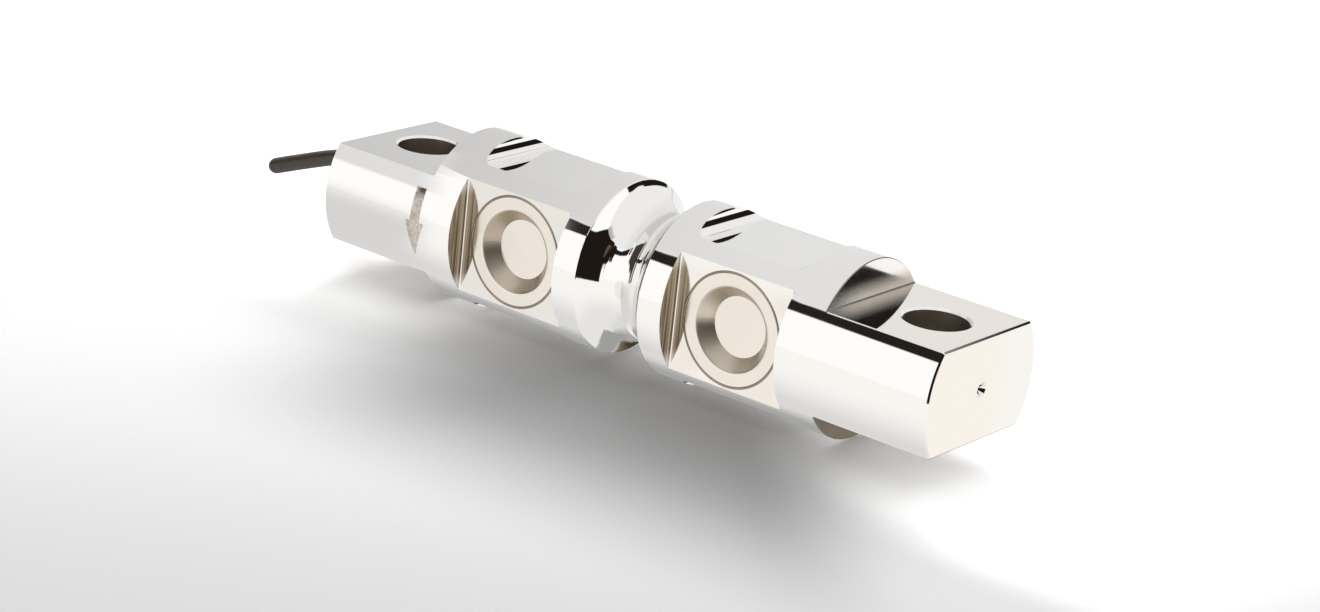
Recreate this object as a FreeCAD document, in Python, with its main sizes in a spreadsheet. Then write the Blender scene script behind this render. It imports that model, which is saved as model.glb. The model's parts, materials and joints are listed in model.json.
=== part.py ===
import FreeCAD, Part
import math
import os
import Sketcher

# Double ended beam load cell: a turned round bar, bolted down through both ends and loaded at
# the ring groove in the middle. Each half has a thin shear web between two blind bores. Strain
# gauges sit on the webs, and a dished cover closes each bore.
# X runs along the bar, the cable leaves at -X, -Y is the front and +Z is up. The origin is the
# middle of the bar's axis. Millimetres.

SIZES = {
    # Turned bar
    "bar_diameter": 62.0,
    "bar_length": 260.0,
    "groove_width": 27.2,
    "neck_diameter": 47.0,
    "groove_lip": 0.5,
    "centre_hole": 5.0,
    "centre_pilot": 2.0,
    "centre_depth": 6.0,
    "end_chamfer": 0.6,
    # Milled ends and bolt holes
    "end_thickness": 36.0,
    "end_land": 45.5,
    "end_corner": 0.5,
    "end_edge": 0.3,
    "bolt_to_end": 20.0,
    "bolt_hole": 22.0,
    "bolt_chamfer": 0.8,
    # Flats of the two gauge sections
    "gauge_spacing": 94.0,
    "flat_length": 47.0,
    "side_flats_width": 46.5,
    "top_flat_depth": 5.8,
    "side_corner": 0.8,
    "top_corner": 5.0,
    # Gauge bores, web and wire holes
    "gauge_bore": 31.0,
    "web_thickness": 9.0,
    "web_hole": 3.5,
    "web_hole_offset": 11.5,
    "wireway": 5.0,
    "wireway_offset": 16.0,
    # Dished covers
    "cover_diameter": 38.4,
    "cover_gap": 0.5,
    "cover_sheet": 1.0,
    "cover_mouth": 29.0,
    "cover_floor": 20.8,
    "cover_depth": 5.0,
    "cover_round": 1.5,
    # Strain gauges, their coats and solder terminals
    "gauge_width": 10.0,
    "gauge_height": 8.0,
    "gauge_foil": 0.15,
    "coat_diameter": 14.0,
    "coat_height": 1.4,
    "terminal_width": 9.0,
    "terminal_height": 3.5,
    "terminal_board": 0.8,
    "terminal_drop": 10.0,
    "solder_height": 0.6,
    # Trim board
    "board_width": 20.0,
    "board_height": 18.0,
    "board_sheet": 1.6,
    "board_shift": 1.5,
    "board_lift": 5.0,
    "pillar_diameter": 3.5,
    "pillar_edge": 0.5,
    "screw_diameter": 2.0,
    "screw_head": 3.6,
    "screw_head_height": 1.2,
    "screw_length": 5.0,
    "screw_clearance": 0.1,
    "chip_length": 3.2,
    "chip_width": 1.6,
    "chip_height": 0.7,
    # Wires
    "web_wires": 1.4,
    "bridge_wires": 1.8,
    "cable_cores": 3.6,
    # Cable gland
    "gland_thread": 12.0,
    "thread_clearance": 0.1,
    "gland_stem": 7.5,
    "gland_bore_depth": 8.5,
    "gland_across": 14.0,
    "washer_diameter": 14.0,
    "washer_sheet": 1.0,
    "gland_flange": 4.0,
    "gland_neck": 5.0,
    "seal_diameter": 9.0,
    "seal_length": 7.0,
    "nut_gap": 0.4,
    "nut_hex": 4.6,
    "nut_length": 7.6,
    "nut_face": 10.0,
    "nut_hole": 6.8,
    "cable_clearance": 0.3,
    "cable_diameter": 6.0,
    "cable_start": 1.5,
    "cable_reach": 70.0,
    "cable_drop": 17.2,
}

doc = FreeCAD.newDocument("LoadCell")
sheet = doc.addObject("Spreadsheet::Sheet", "Sizes")
for row, (alias, number) in enumerate(SIZES.items(), start=1):
    sheet.set(f"A{row}", alias)
    sheet.set(f"B{row}", str(number))
    sheet.setAlias(f"B{row}", alias)
doc.recompute()


class Size:
    """A length in millimetres with the spreadsheet formula that gives it."""

    def __init__(self, number, formula):
        self.number = number
        self.formula = formula

    def __add__(self, other):
        other = as_size(other)
        return Size(self.number + other.number, f"({self.formula} + {other.formula})")

    def __sub__(self, other):
        other = as_size(other)
        return Size(self.number - other.number, f"({self.formula} - {other.formula})")

    def __mul__(self, other):
        other = as_size(other)
        return Size(self.number * other.number, f"({self.formula} * {other.formula})")

    def __truediv__(self, other):
        other = as_size(other)
        return Size(self.number / other.number, f"({self.formula} / {other.formula})")

    def __neg__(self):
        return Size(-self.number, f"(0 - {self.formula})")


def as_size(value):
    return value if isinstance(value, Size) else Size(float(value), str(value))


def cell(alias):
    """The sheet's size of that name."""
    return Size(float(sheet.get(alias)), f"Sizes.{alias}")


def half(alias):
    return cell(alias) / 2


# Lengths that several pieces share
bar_radius = half("bar_diameter")
half_length = half("bar_length")
step_x = half_length - cell("end_land")
end_top = half("end_thickness")
bolt_x = half_length - cell("bolt_to_end")
pocket_x = half("gauge_spacing")
flat_from = pocket_x - half("flat_length")
flat_to = pocket_x + half("flat_length")
side_y = half("side_flats_width")
top_z = bar_radius - cell("top_flat_depth")
groove_x = half("groove_width")
web_y = half("web_thickness")
wire_y = cell("wireway_offset")
outside = bar_radius + 5
past_end = half_length + 5


def bind(thing, name, size):
    """Tie a property to the sheet."""
    thing.setExpression(name, as_size(size).formula)


def place(thing, x=0, y=0, z=0, axis=(0, 0, 1), angle=0):
    """Turn a finished sub-part, then tie its place to the sheet."""
    rotation = FreeCAD.Rotation(FreeCAD.Vector(*axis), angle)
    thing.Placement = FreeCAD.Placement(FreeCAD.Vector(0, 0, 0), rotation)
    for letter, size in zip("xyz", (x, y, z)):
        bind(thing, f"Placement.Base.{letter}", size)


# Sketches
def new_body(name):
    body = doc.addObject("PartDesign::Body", name)
    body.Label = name
    return body


def new_sketch(body, name, role, offset=None):
    sketch = body.newObject("Sketcher::SketchObject", name)
    plane = [item for item in body.Origin.OriginFeatures if item.Role == role][0]
    sketch.AttachmentSupport = [(plane, "")]
    sketch.MapMode = "FlatFace"
    if offset is not None:
        bind(sketch, "AttachmentOffset.Base.z", offset)
    return sketch


def dimension(sketch, kind, references, size):
    """Add one dimension to a sketch and tie it to the sheet."""
    index = sketch.addConstraint(Sketcher.Constraint(kind, *references, size.number))
    bind(sketch, f"Constraints[{index}]", size)


def pin_point(sketch, geometry, position, x, y):
    """Hold a sketch point at x, y."""
    for kind, axis, size in (("DistanceX", -2, as_size(x)), ("DistanceY", -1, as_size(y))):
        if size.number == 0:
            sketch.addConstraint(Sketcher.Constraint("PointOnObject", geometry, position, axis))
        else:
            dimension(sketch, kind, (-1, 1, geometry, position), size)


def flat_vector(x, y):
    return FreeCAD.Vector(as_size(x).number, as_size(y).number, 0)


def draw_outline(sketch, corners, arcs=None):
    """A closed outline through corners. arcs gives, for a corner's number, the centre and the
    radius of the arc that runs anticlockwise from it to the next corner."""
    arcs = arcs or {}
    first = sketch.GeometryCount
    count = len(corners)
    for number, corner in enumerate(corners):
        start = flat_vector(*corner)
        end = flat_vector(*corners[(number + 1) % count])
        if number in arcs:
            centre, radius = arcs[number]
            circle = Part.Circle(flat_vector(*centre), FreeCAD.Vector(0, 0, 1), radius.number)
            piece = Part.ArcOfCircle(circle, circle.parameter(start), circle.parameter(end))
        else:
            piece = Part.LineSegment(start, end)
        sketch.addGeometry(piece, False)
    for number, corner in enumerate(corners):
        this, following = first + number, first + (number + 1) % count
        sketch.addConstraint(Sketcher.Constraint("Coincident", this, 2, following, 1))
        pin_point(sketch, this, 1, *corner)
        if number in arcs:
            dimension(sketch, "Radius", (this,), arcs[number][1])


def draw_circle(sketch, x, y, radius):
    circle = Part.Circle(flat_vector(x, y), FreeCAD.Vector(0, 0, 1), radius.number)
    geometry = sketch.addGeometry(circle, False)
    pin_point(sketch, geometry, 3, x, y)
    dimension(sketch, "Radius", (geometry,), radius)


def draw_hexagon(sketch, x, y, across):
    """A hexagon by its width across flats, with two flats level."""
    reach = across / math.sqrt(3)
    corners = [(x + reach, y), (x + reach / 2, y + across / 2), (x - reach / 2, y + across / 2),
               (x - reach, y), (x - reach / 2, y - across / 2), (x + reach / 2, y - across / 2)]
    draw_outline(sketch, corners)


# Features
def volume_of(body):
    return 0.0 if body.Shape.isNull() else body.Shape.Volume


def finish_feature(body, feature, adds):
    """Recompute, and make sure that the feature added or removed material."""
    before = body.tally if hasattr(body, "tally") else 0.0
    body.Tip = feature
    doc.recompute()
    after = volume_of(body)
    if adds and after <= before or not adds and after >= before:
        raise RuntimeError(f"{feature.Name} changed nothing: {before:.1f} to {after:.1f}")
    if not hasattr(body, "tally"):
        body.addProperty("App::PropertyFloat", "tally", "Check", "volume after the last feature")
    body.tally = after
    return feature


def revolve(body, name, sketch, axis):
    feature = body.newObject("PartDesign::Revolution", name)
    feature.Profile = sketch
    feature.ReferenceAxis = (sketch, [axis])
    feature.Angle = 360
    return finish_feature(body, feature, adds=True)


def pad(body, name, sketch, length, reversed_way=False):
    feature = body.newObject("PartDesign::Pad", name)
    feature.Profile = sketch
    feature.Reversed = reversed_way
    bind(feature, "Length", length)
    return finish_feature(body, feature, adds=True)


def pocket(body, name, sketch, length=None, both_ways=False, reversed_way=False):
    """Cut a sketch away: through everything, or to a length."""
    feature = body.newObject("PartDesign::Pocket", name)
    feature.Profile = sketch
    feature.Reversed = reversed_way
    feature.Midplane = both_ways
    if length is None:
        feature.Type = "ThroughAll"
    else:
        feature.Type = "Length"
        bind(feature, "Length", length)
    return finish_feature(body, feature, adds=False)


def edges_where(shape, test):
    return [f"Edge{n}" for n, edge in enumerate(shape.Edges, start=1) if test(edge)]


def dress_edges(body, name, kind, test, size):
    """Round (Fillet) or bevel (Chamfer) every edge of the last feature that passes the test."""
    base = body.Tip
    names = edges_where(base.Shape, test)
    if not names:
        raise RuntimeError(f"{name} found no edges")
    feature = body.newObject(f"PartDesign::{kind}", name)
    feature.Base = (base, names)
    bind(feature, "Radius" if kind == "Fillet" else "Size", size)
    body.Tip = feature
    doc.recompute()
    body.tally = volume_of(body)


NEAR = 0.01


def near(first, second):
    return abs(first - second) < NEAR


def is_line(edge, direction):
    """True for a straight edge along one of the axes."""
    if edge.Curve.TypeId != "Part::GeomLine":
        return False
    return abs(edge.Curve.Direction.dot(FreeCAD.Vector(*direction))) > 1 - 1e-6


def is_circle(edge, radius):
    return edge.Curve.TypeId == "Part::GeomCircle" and near(edge.Curve.Radius, radius.number)


# Beam
def mirrored_blocks(body, name, role, inner, outer, height):
    """Cut four blocks, left and right and on both sides of the axis, from height outwards."""
    sketch = new_sketch(body, name + "_sketch", role)
    for across in (-1, 1):
        for up in (-1, 1):
            corners = [(inner * across, height * up), (outer * across, height * up),
                       (outer * across, outside * up), (inner * across, outside * up)]
            draw_outline(sketch, corners)
    pocket(body, name, sketch, both_ways=True)


def side_bores(body, name, radius, depth_y):
    """Cut both gauge bores on the front and on the back, from depth_y outwards."""
    for side, toward_front in (("front", True), ("back", False)):
        offset = depth_y if toward_front else -depth_y
        sketch = new_sketch(body, f"{name}_{side}_sketch", "XZ_Plane", offset)
        for across in (-1, 1):
            draw_circle(sketch, pocket_x * across, 0, radius)
        pocket(body, f"{name}_{side}", sketch, reversed_way=toward_front)


def make_beam():
    body = new_body("beam_body")
    depth = bar_radius - half("neck_diameter")
    groove_radius = (groove_x * groove_x + depth * depth) / (depth * 2)
    groove_centre = (0, bar_radius - depth + groove_radius)
    sink = half("centre_hole")
    pilot = half("centre_pilot")
    sink_x = half_length - (sink - pilot) * math.sqrt(3)
    pilot_x = half_length - cell("centre_depth")

    # The turned bar, with its ring groove and the lathe's centre hole in each end
    profile = new_sketch(body, "turned_profile", "XZ_Plane")
    corners = [(-pilot_x, 0), (-pilot_x, pilot), (-sink_x, pilot), (-half_length, sink),
               (-half_length, bar_radius), (-groove_x, bar_radius), (groove_x, bar_radius),
               (half_length, bar_radius), (half_length, sink), (sink_x, pilot),
               (pilot_x, pilot), (pilot_x, 0)]
    draw_outline(profile, corners, {5: (groove_centre, groove_radius)})
    revolve(body, "turned_bar", profile, "H_Axis")

    # Flats on the ends, on the sides of the gauge sections and on their tops and undersides
    mirrored_blocks(body, "end_flats", "XZ_Plane", step_x, past_end, end_top)
    mirrored_blocks(body, "side_flats", "XY_Plane", flat_from, flat_to, side_y)
    mirrored_blocks(body, "top_flats", "XZ_Plane", flat_from, flat_to, top_z)

    # The milling cutter's radius at the foot of each wall
    def side_corner(edge):
        middle = edge.CenterOfMass
        at_wall = near(abs(middle.x), flat_from.number) or near(abs(middle.x), flat_to.number)
        return is_line(edge, (0, 0, 1)) and at_wall and near(abs(middle.y), side_y.number)

    def top_corner(edge):
        middle = edge.CenterOfMass
        at_wall = near(abs(middle.x), flat_from.number) or near(abs(middle.x), flat_to.number)
        return is_line(edge, (0, 1, 0)) and at_wall and near(abs(middle.z), top_z.number)

    def end_corner(edge):
        middle = edge.CenterOfMass
        at_wall = near(abs(middle.x), step_x.number)
        return is_line(edge, (0, 1, 0)) and at_wall and near(abs(middle.z), end_top.number)

    dress_edges(body, "side_corners", "Fillet", side_corner, cell("side_corner"))
    dress_edges(body, "top_corners", "Fillet", top_corner, cell("top_corner"))
    dress_edges(body, "end_corners", "Fillet", end_corner, cell("end_corner"))

    # A fine bevel along both long edges of each end flat
    def end_edge(edge):
        middle = edge.CenterOfMass
        on_end = abs(middle.x) > step_x.number and near(abs(middle.z), end_top.number)
        return is_line(edge, (1, 0, 0)) and on_end

    dress_edges(body, "end_edges", "Chamfer", end_edge, cell("end_edge"))

    # Rounded lips of the ring groove, and the chamfer round each end face
    def groove_lip(edge):
        return is_circle(edge, bar_radius) and near(abs(edge.CenterOfMass.x), groove_x.number)

    def end_rim(edge):
        points = [edge.valueAt(place) for place in edge.ParameterRange]
        on_end = all(near(abs(point.x), half_length.number) for point in points)
        return on_end and all(math.hypot(point.y, point.z) > end_top.number for point in points)

    dress_edges(body, "groove_lips", "Fillet", groove_lip, cell("groove_lip"))
    dress_edges(body, "end_rims", "Chamfer", end_rim, cell("end_chamfer"))

    # Bolt holes through the ends
    sketch = new_sketch(body, "bolt_hole_sketch", "XY_Plane")
    for across in (-1, 1):
        draw_circle(sketch, bolt_x * across, 0, half("bolt_hole"))
    pocket(body, "bolt_holes", sketch, both_ways=True)

    def bolt_rim(edge):
        return is_circle(edge, half("bolt_hole")) and near(abs(edge.CenterOfMass.z), end_top.number)

    dress_edges(body, "bolt_rims", "Chamfer", bolt_rim, cell("bolt_chamfer"))

    # Blind gauge bores that leave the web, each with a seat for its cover
    side_bores(body, "gauge_bores", half("gauge_bore"), web_y)
    seat = half("cover_diameter") + cell("cover_gap")
    side_bores(body, "cover_seats", seat, side_y - cell("cover_sheet"))

    # Holes for the wires: through each web, and one long hole from the cable end
    sketch = new_sketch(body, "web_hole_sketch", "XZ_Plane")
    for across in (-1, 1):
        draw_circle(sketch, (pocket_x - cell("web_hole_offset")) * across, 0, half("web_hole"))
    pocket(body, "web_holes", sketch, both_ways=True)
    sketch = new_sketch(body, "wireway_sketch", "YZ_Plane", pocket_x)
    draw_circle(sketch, wire_y, 0, half("wireway"))
    pocket(body, "wireway", sketch)
    sketch = new_sketch(body, "gland_bore_sketch", "YZ_Plane", -half_length)
    draw_circle(sketch, wire_y, 0, half("gland_thread"))
    pocket(body, "gland_bore", sketch, cell("gland_bore_depth"), reversed_way=True)
    return body


# Covers
def make_cover(name, x, front):
    """A dished cover, flush with its flat: a plain rim, a sloping wall and a flat floor."""
    body = new_body(name)
    skin = cell("cover_sheet")
    deep = cell("cover_depth")
    mouth = half("cover_mouth")
    floor = half("cover_floor")
    run = mouth - floor
    slope = Size(math.hypot(run.number, deep.number),
                 f"sqrt({run.formula} * {run.formula} + {deep.formula} * {deep.formula})")
    spread = skin * (slope - run) / deep
    corners = [(0, -deep - skin), (floor + spread, -deep - skin), (mouth + spread, -skin),
               (half("cover_diameter"), -skin), (half("cover_diameter"), 0), (mouth, 0),
               (floor, -deep), (0, -deep)]
    profile = new_sketch(body, name + "_profile", "XY_Plane")
    draw_outline(profile, corners)
    revolve(body, name + "_dish", profile, "V_Axis")

    def mouth_edge(edge):
        return is_circle(edge, mouth) and near(edge.CenterOfMass.y, 0)

    dress_edges(body, name + "_shoulder", "Fillet", mouth_edge, cell("cover_round"))
    place(body, x, -side_y if front else side_y, 0, angle=180 if front else 0)
    return body


# Gauges, coats and terminals, built against the back of the web and turned for the front
def make_gauge_set(half_name, side_name, x, front):
    tag = f"{half_name}_{side_name}"
    facing = -1 if front else 1
    foil, coat_high = cell("gauge_foil"), cell("coat_height")
    width, high = cell("gauge_width"), cell("gauge_height")

    gauge = doc.addObject("Part::Box", f"gauge_{tag}")
    gauge.Label = gauge.Name
    bind(gauge, "Length", width)
    bind(gauge, "Width", foil)
    bind(gauge, "Height", high)
    place(gauge, x - width / 2, web_y if not front else -web_y - foil, -high / 2)

    # The coat is a low domed pad with the gauge bedded in its underside
    body = new_body(f"coat_{tag}")
    reach = half("coat_diameter")
    profile = new_sketch(body, body.Name + "_profile", "XY_Plane")
    corners = [(0, 0), (reach, 0), (reach, foil * 2), (reach - coat_high, coat_high), (0, coat_high)]
    draw_outline(profile, corners)
    revolve(body, body.Name + "_pad", profile, "V_Axis")
    bed = new_sketch(body, body.Name + "_bed", "XZ_Plane")
    draw_outline(bed, [(-width / 2, -high / 2), (width / 2, -high / 2), (width / 2, high / 2),
                       (-width / 2, high / 2)])
    pocket(body, body.Name + "_pocket", bed, foil, reversed_way=False)
    place(body, x, web_y * facing, 0, angle=180 if front else 0)

    # A terminal strip: a small board with four solder pads
    strip = new_body(f"terminal_{tag}")
    board = new_sketch(strip, strip.Name + "_outline", "XZ_Plane")
    long, tall = cell("terminal_width"), cell("terminal_height")
    draw_outline(board, [(-long / 2, -tall / 2), (long / 2, -tall / 2), (long / 2, tall / 2),
                         (-long / 2, tall / 2)])
    pad(strip, strip.Name + "_board", board, cell("terminal_board"), reversed_way=True)
    dots = new_sketch(strip, strip.Name + "_dots", "XZ_Plane", -cell("terminal_board"))
    for step in (-1.5, -0.5, 0.5, 1.5):
        draw_circle(dots, long / 4 * step, 0, long / 10)
    pad(strip, strip.Name + "_pads", dots, cell("solder_height"), reversed_way=True)
    place(strip, x, web_y * facing, -cell("terminal_drop"), angle=180 if front else 0)
    return [gauge, body, strip]


# Trim board in the left back bore
def pillar_places():
    """Centres of the three pillars, as x and z from the bore's centre."""
    wide, tall = cell("board_width"), cell("board_height")
    inset = half("pillar_diameter") + cell("pillar_edge")
    left = -(wide / 2) - cell("board_shift") + inset
    right = wide / 2 - cell("board_shift") - inset
    return [(left, tall / 2 - inset), (left, -(tall / 2) + inset), (right, tall / 2 - inset)]


def make_trim_board():
    x = -pocket_x
    rise = web_y + cell("board_lift")
    wide, tall = cell("board_width"), cell("board_height")
    left, right = -(wide / 2) - cell("board_shift"), wide / 2 - cell("board_shift")
    clear = half("screw_diameter") + cell("screw_clearance")

    board = new_body("trim_board")
    sketch = new_sketch(board, "trim_board_outline", "XZ_Plane")
    draw_outline(sketch, [(left, -tall / 2), (right, -tall / 2), (right, tall / 2), (left, tall / 2)])
    for across, up in pillar_places():
        draw_circle(sketch, across, up, clear)
    pad(board, "trim_board_sheet", sketch, cell("board_sheet"), reversed_way=True)
    place(board, x, rise, 0)

    pillars, screws = [], []
    for number, (across, up) in enumerate(pillar_places(), start=1):
        post = doc.addObject("Part::Cylinder", f"pillar_{number}_post")
        bind(post, "Radius", half("pillar_diameter"))
        bind(post, "Height", cell("board_lift"))
        hole = doc.addObject("Part::Cylinder", f"pillar_{number}_hole")
        bind(hole, "Radius", clear)
        bind(hole, "Height", cell("board_lift"))
        tube = doc.addObject("Part::Cut", f"pillar_{number}")
        tube.Base, tube.Tool = post, hole
        place(tube, x + across, web_y, up, axis=(1, 0, 0), angle=-90)
        pillars.append(tube)

        shank = doc.addObject("Part::Cylinder", f"screw_{number}_shank")
        bind(shank, "Radius", half("screw_diameter"))
        bind(shank, "Height", cell("screw_length"))
        head = doc.addObject("Part::Cylinder", f"screw_{number}_head")
        bind(head, "Radius", half("screw_head"))
        bind(head, "Height", cell("screw_head_height"))
        bind(head, "Placement.Base.z", cell("screw_length"))
        screw = doc.addObject("Part::Fuse", f"screw_{number}")
        screw.Base, screw.Tool = shank, head
        under_head = rise + cell("board_sheet")
        place(screw, x + across, under_head - cell("screw_length"), up, axis=(1, 0, 0), angle=-90)
        screws.append(screw)

    chips = []
    spots = [(-0.15, 0.18), (-0.15, -0.02), (0.15, -0.12), (0.15, -0.32)]
    for number, (across, up) in enumerate(spots, start=1):
        chip = doc.addObject("Part::Box", f"chip_{number}")
        bind(chip, "Length", cell("chip_length"))
        bind(chip, "Width", cell("chip_height"))
        bind(chip, "Height", cell("chip_width"))
        centre_x = x - cell("board_shift") + wide * across
        place(chip, centre_x - half("chip_length"), rise + cell("board_sheet"), tall * up)
        chips.append(chip)
    groups = []
    for name, members in (("board_pillars", pillars), ("board_screws", screws), ("trim_resistors", chips)):
        group = doc.addObject("Part::Compound", name)
        group.Label = name
        group.Links = members
        groups.append(group)
    return [board] + groups


# Wires and the cable: straight runs joined by tangent arcs
CABLE_ROUTE = [(0, 0), (0.264, 0), (0.529, 0.267), (0.771, 0.634), (1, 1)]
cable_from = half_length + cell("cable_start")


def rounded_path(points):
    """A wire through the points, each corner an arc as large as its runs allow."""
    edges = []
    radii = []
    at = points[0]
    for before, corner, after in zip(points, points[1:], points[2:]):
        back, ahead = before - corner, after - corner
        turn = math.pi - back.getAngle(ahead)
        reach = 0.45 * min(back.Length, ahead.Length)
        start = corner + back.normalize() * reach
        end = corner + ahead.normalize() * reach
        radius = reach / math.tan(turn / 2)
        inward = (back + ahead).normalize()
        middle = corner + inward * (radius / math.cos(turn / 2) - radius)
        edges.append(Part.LineSegment(at, start).toShape())
        edges.append(Part.Arc(start, middle, end).toShape())
        radii.append(round(radius, 1))
        at = end
    edges.append(Part.LineSegment(at, points[-1]).toShape())
    return Part.Wire(edges), radii


def make_tube(name, points, diameter):
    """A round wire or cable along the points."""
    vectors = [FreeCAD.Vector(*(as_size(value).number for value in point)) for point in points]
    path, radii = rounded_path(vectors)
    radius = diameter.number / 2
    ring = Part.Circle(vectors[0], vectors[1] - vectors[0], radius)
    section = Part.Wire([ring.toShape()])
    tube = doc.addObject("Part::Feature", name)
    tube.Label = name
    tube.Shape = path.makePipeShell([section], True, False)
    tube.Placement = FreeCAD.Placement()
    ratio = tube.Shape.Volume / (math.pi * radius ** 2 * path.Length)
    print(f"{name}: length {path.Length:.1f} mm, radii {radii}, volume ratio {ratio:.4f}")
    return tube


def make_wires():
    """Wire bundles. Each starts and ends a little above the pads that it is soldered to."""
    solder_y = web_y + cell("terminal_board") + cell("solder_height")
    board_top = web_y + cell("board_lift") + cell("board_sheet")
    low = -cell("terminal_drop")
    web = half("web_wires")
    pad_y, board_y = solder_y + web, board_top + web
    pad_in = cell("terminal_width") * 0.39
    hole_in = cell("web_hole_offset")
    rise_in = hole_in * 0.7
    rise_y = pad_y + web * 2
    bow = web_y + cell("web_hole") * 1.15

    right = make_tube("web_wires_right", [
        (pocket_x - pad_in, -pad_y, low), (pocket_x - rise_in, -rise_y, low / 2),
        (pocket_x - hole_in, -bow, 0), (pocket_x - hole_in, bow, 0),
        (pocket_x - rise_in, rise_y, low / 2), (pocket_x - pad_in, pad_y, low),
    ], cell("web_wires"))
    left = make_tube("web_wires_left", [
        (-pocket_x + pad_in, -pad_y, low), (-pocket_x + rise_in, -rise_y, low / 2),
        (-pocket_x + hole_in, -bow, 0), (-pocket_x + hole_in, bow, 0),
        (-pocket_x + hole_in - web * 2, board_y + web * 1.5, low / 5),
        (-pocket_x + hole_in / 2, board_y, low / 3),
    ], cell("web_wires"))

    thick = half("bridge_wires")
    pad_y, board_y = solder_y + thick, board_top + thick
    bore = half("gauge_bore")
    near_mouth, far_mouth = pocket_x - bore, pocket_x + bore
    reach = cell("wireway") * 0.8
    dip = cell("wireway") * 0.3
    sway = cell("wireway") * 0.16
    bridge = make_tube("bridge_wires", [
        (pocket_x, pad_y, low), (pocket_x - bore * 0.4, pad_y + dip * 2, low * 0.6),
        (near_mouth + reach, wire_y - dip, -sway), (near_mouth - reach, wire_y, 0),
        (-near_mouth + reach, wire_y, 0), (-near_mouth - reach, wire_y - dip, sway),
        (-pocket_x + bore / 3, board_y, -low / 4),
    ], cell("bridge_wires"))

    board_y = board_top + half("cable_cores")
    cores = make_tube("cable_cores", [
        (-cable_from, wire_y, 0), (-far_mouth - reach, wire_y, 0),
        (-far_mouth + reach, wire_y - sway, -sway), (-pocket_x - bore * 0.4, board_y, low / 4),
    ], cell("cable_cores"))
    return [right, left, bridge, cores]


def make_cable():
    """The cable drops as it leaves the gland. Each point is a share of its reach and of its drop."""
    points = [(-cable_from - cell("cable_reach") * out, wire_y, -(cell("cable_drop") * down))
              for out, down in CABLE_ROUTE]
    return make_tube("cable", points, cell("cable_diameter"))


# Cable gland, screwed into the left end. Its own axis points out of the end, along -X.
def make_gland():
    face = cell("washer_sheet")
    flange_end = face + cell("gland_flange")
    neck_end = flange_end + cell("gland_neck")
    seal_from = neck_end + cell("nut_gap") - cell("seal_length")
    stem = half("gland_thread") - cell("thread_clearance")

    washer = new_body("gland_washer")
    sketch = new_sketch(washer, "gland_washer_ring", "YZ_Plane")
    draw_circle(sketch, wire_y, 0, half("washer_diameter"))
    draw_circle(sketch, wire_y, 0, half("gland_thread"))
    pad(washer, "gland_washer_pad", sketch, face, reversed_way=True)

    body = new_body("gland_body")
    sketch = new_sketch(body, "gland_hexagon", "YZ_Plane", -face)
    draw_hexagon(sketch, wire_y, Size(0, "0"), cell("gland_across"))
    pad(body, "gland_flange_pad", sketch, cell("gland_flange"), reversed_way=True)
    sketch = new_sketch(body, "gland_stem_circle", "YZ_Plane", -face)
    draw_circle(sketch, wire_y, 0, stem)
    pad(body, "gland_stem_pad", sketch, face + cell("gland_stem"))
    sketch = new_sketch(body, "gland_neck_circle", "YZ_Plane", -flange_end)
    draw_circle(sketch, wire_y, 0, stem)
    pad(body, "gland_neck_pad", sketch, cell("gland_neck"), reversed_way=True)
    sketch = new_sketch(body, "gland_hole_circle", "YZ_Plane", -neck_end)
    draw_circle(sketch, wire_y, 0, half("cable_diameter") + cell("cable_clearance"))
    pocket(body, "gland_hole", sketch, neck_end + cell("gland_stem") + 1, reversed_way=True)
    sketch = new_sketch(body, "gland_seat_circle", "YZ_Plane", -seal_from)
    draw_circle(sketch, wire_y, 0, half("seal_diameter"))
    pocket(body, "gland_seat", sketch, cell("seal_length"))

    seal = new_body("gland_seal")
    sketch = new_sketch(seal, "gland_seal_ring", "YZ_Plane", -seal_from)
    draw_circle(sketch, wire_y, 0, half("seal_diameter"))
    draw_circle(sketch, wire_y, 0, half("cable_diameter"))
    pad(seal, "gland_seal_pad", sketch, cell("seal_length"), reversed_way=True)

    nut = new_body("gland_nut")
    start = flange_end + cell("nut_gap")
    sketch = new_sketch(nut, "gland_nut_hexagon", "YZ_Plane", -start)
    draw_hexagon(sketch, wire_y, Size(0, "0"), cell("gland_across"))
    pad(nut, "gland_nut_hex", sketch, cell("nut_hex"), reversed_way=True)
    profile = new_sketch(nut, "gland_nut_dome_profile", "XY_Plane")
    dome_from = -start - cell("nut_hex")
    dome_to = -start - cell("nut_length")
    draw_outline(profile, [(dome_from, wire_y), (dome_from, wire_y + half("gland_across")),
                           (dome_to, wire_y + half("nut_face")), (dome_to, wire_y)])
    axis_line = profile.addGeometry(Part.LineSegment(flat_vector(dome_from, wire_y),
                                                     flat_vector(dome_to, wire_y)), True)
    pin_point(profile, axis_line, 1, dome_from, wire_y)
    pin_point(profile, axis_line, 2, dome_to, wire_y)
    revolve(nut, "gland_nut_dome", profile, "Axis0")
    sketch = new_sketch(nut, "gland_nut_thread_circle", "YZ_Plane", -start)
    draw_circle(sketch, wire_y, 0, half("gland_thread"))
    pocket(nut, "gland_nut_thread", sketch, neck_end + cell("nut_gap") - start)
    sketch = new_sketch(nut, "gland_nut_hole_circle", "YZ_Plane", -start)
    draw_circle(sketch, wire_y, 0, half("nut_hole"))
    pocket(nut, "gland_nut_hole", sketch, cell("nut_length") + 1)

    parts = [washer, body, seal, nut]
    for piece in parts:
        place(piece, -half_length)
    return parts


# Assembly
def make_all():
    pieces = [make_beam()]
    for half_name, x in (("left", -pocket_x), ("right", pocket_x)):
        for side_name, front in (("front", True), ("back", False)):
            pieces.append(make_cover(f"cover_{half_name}_{side_name}", x, front))
            pieces += make_gauge_set(half_name, side_name, x, front)
    pieces += make_trim_board()
    pieces += make_wires()
    pieces += make_gland()
    pieces.append(make_cable())
    return pieces


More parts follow.
